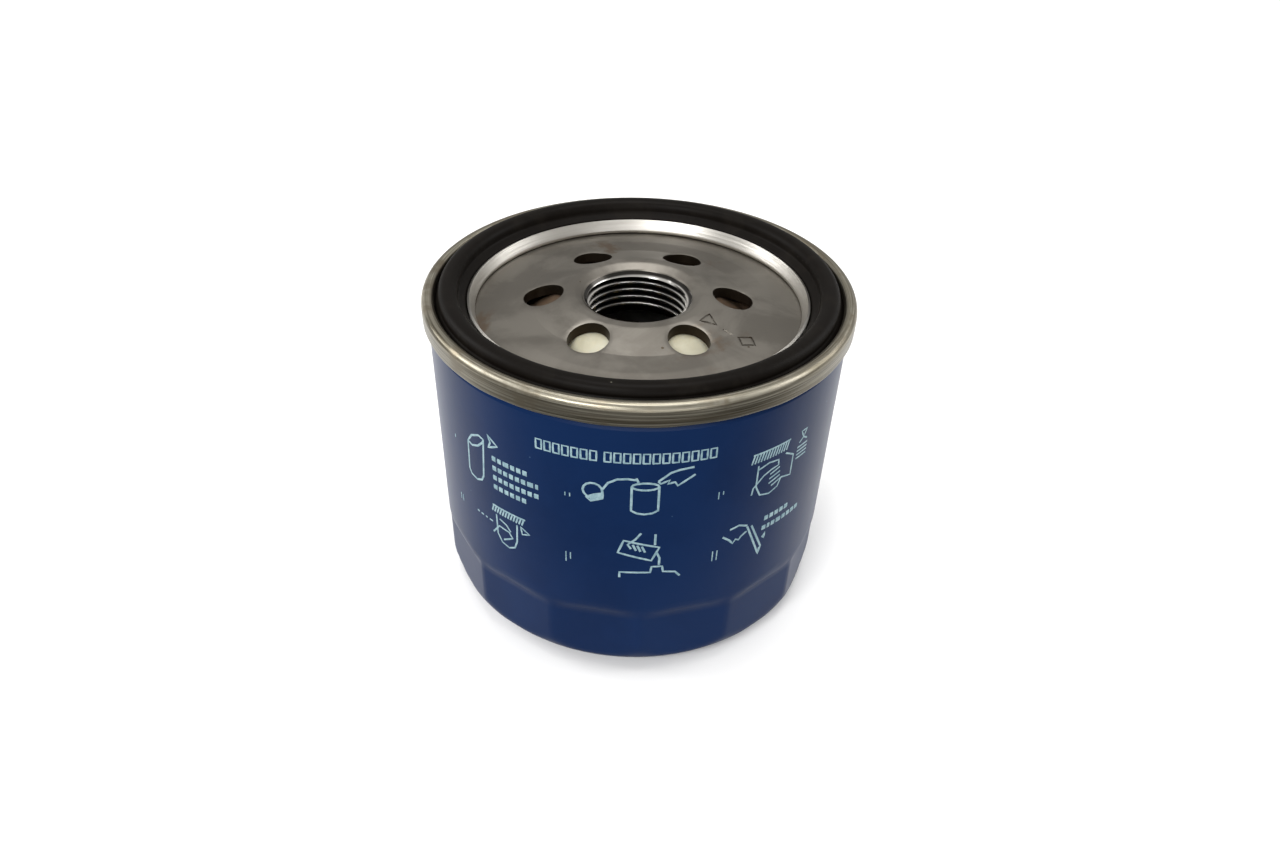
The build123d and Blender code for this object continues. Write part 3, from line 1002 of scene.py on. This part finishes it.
INNER_FINISHES = {
    "seam_compound": sealant,
    "top_end_cap": inner_steel,
    "bottom_end_cap": inner_steel,
    "top_adhesive": glue,
    "bottom_adhesive": glue,
    "pleated_media": paper,
    "media_seam_clip": inner_steel,
    "center_tube": inner_steel,
    "bypass_seat": inner_steel,
    "bypass_seal": rubber,
    "bypass_disc": inner_steel,
    "bypass_stem": inner_steel,
    "bypass_cage": inner_steel,
    "support_spring": spring_steel,
}
for node_name, finish in INNER_FINISHES.items():
    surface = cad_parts[node_name].data
    surface.materials.clear()
    surface.materials.append(finish)


# ---------------------------------------------------------------- floor, light and camera


def make_floor():
    """Plain pale floor, which the filter mirrors darker in front of it than beside it."""
    shape = bmesh.new()
    bmesh.ops.create_grid(shape, x_segments=1, y_segments=1, size=3)
    mesh = bpy.data.meshes.new("floor")
    shape.to_mesh(mesh)
    shape.free()
    material, tree, shader = new_material("pale_floor", Roughness=0.9, Specular_IOR_Level=0.0)
    path = add_node(tree, "ShaderNodeLightPath")
    place = add_node(tree, "ShaderNodeTexCoord")
    parts = add_node(tree, "ShaderNodeSeparateXYZ")
    tree.links.new(place.outputs["Object"], parts.inputs[0])
    beside = between(tree, parts.outputs["Y"], 0, 1, -0.07, -0.015)
    mirrored = colour_between(tree, beside, (0.24, 0.24, 0.24), (0.85, 0.85, 0.85))
    shade = colour_between(tree, path.outputs["Is Camera Ray"], mirrored, (0.95, 0.95, 0.95))
    tree.links.new(shade, shader.inputs["Base Color"])
    mesh.materials.append(material)
    floor = bpy.data.objects.new("floor", mesh)
    bpy.context.scene.collection.objects.link(floor)


def softbox(name, place, size, watts):
    """Rectangular light that faces the filter."""
    light = bpy.data.lights.new(name, "AREA")
    light.shape = "RECTANGLE"
    light.size, light.size_y = size
    light.energy = watts
    box = bpy.data.objects.new(name, light)
    box.location = place
    box.rotation_mode = "QUATERNION"
    box.rotation_quaternion = (Vector((0, 0, 0.04)) - Vector(place)).to_track_quat("-Z", "Y")
    bpy.context.scene.collection.objects.link(box)


def make_camera():
    """Camera above and in front of the filter, turned from the -Y side by yaw, pitch and roll."""
    place = Vector((-4.3, -167.6, 151.6)) * MM
    yaw, pitch, roll = math.radians(-0.98), math.radians(39.98), math.radians(0.52)
    ahead = Vector((math.sin(yaw) * math.cos(pitch), math.cos(yaw) * math.cos(pitch), -math.sin(pitch)))
    level = Vector((math.cos(yaw), -math.sin(yaw), 0))
    upright = level.cross(ahead)
    right = level * math.cos(roll) + upright * math.sin(roll)
    up = upright * math.cos(roll) - level * math.sin(roll)
    data = bpy.data.cameras.new("camera")
    data.sensor_width = 36
    data.lens = 28.1
    data.shift_x = 0.033
    data.shift_y = 0.058
    data.clip_start = 0.005
    camera = bpy.data.objects.new("camera", data)
    turn = Matrix((right, up, -ahead)).transposed()
    camera.matrix_world = Matrix.Translation(place) @ turn.to_4x4()
    bpy.context.scene.collection.objects.link(camera)
    bpy.context.scene.camera = camera


make_floor()
softbox("overhead_softbox", (0, 0.1, 0.9), (0.5, 0.4), 4)
softbox("key_softbox", (-0.35, -0.65, 0.62), (0.35, 0.25), 5)
softbox("low_front_softbox", (0.05, -0.95, 0.16), (1.1, 0.2), 3)
softbox("left_softbox", (-0.8, 0.2, 0.5), (0.5, 0.5), 4)
softbox("right_softbox", (0.8, 0.2, 0.5), (0.5, 0.5), 3)
world = bpy.data.worlds.new("studio")
world.use_nodes = True
world.node_tree.nodes["Background"].inputs["Color"].default_value = (1, 0.985, 0.955, 1)
world.node_tree.nodes["Background"].inputs["Strength"].default_value = 0.5
bpy.context.scene.world = world
bpy.context.scene.view_settings.view_transform = "Standard"
make_camera()
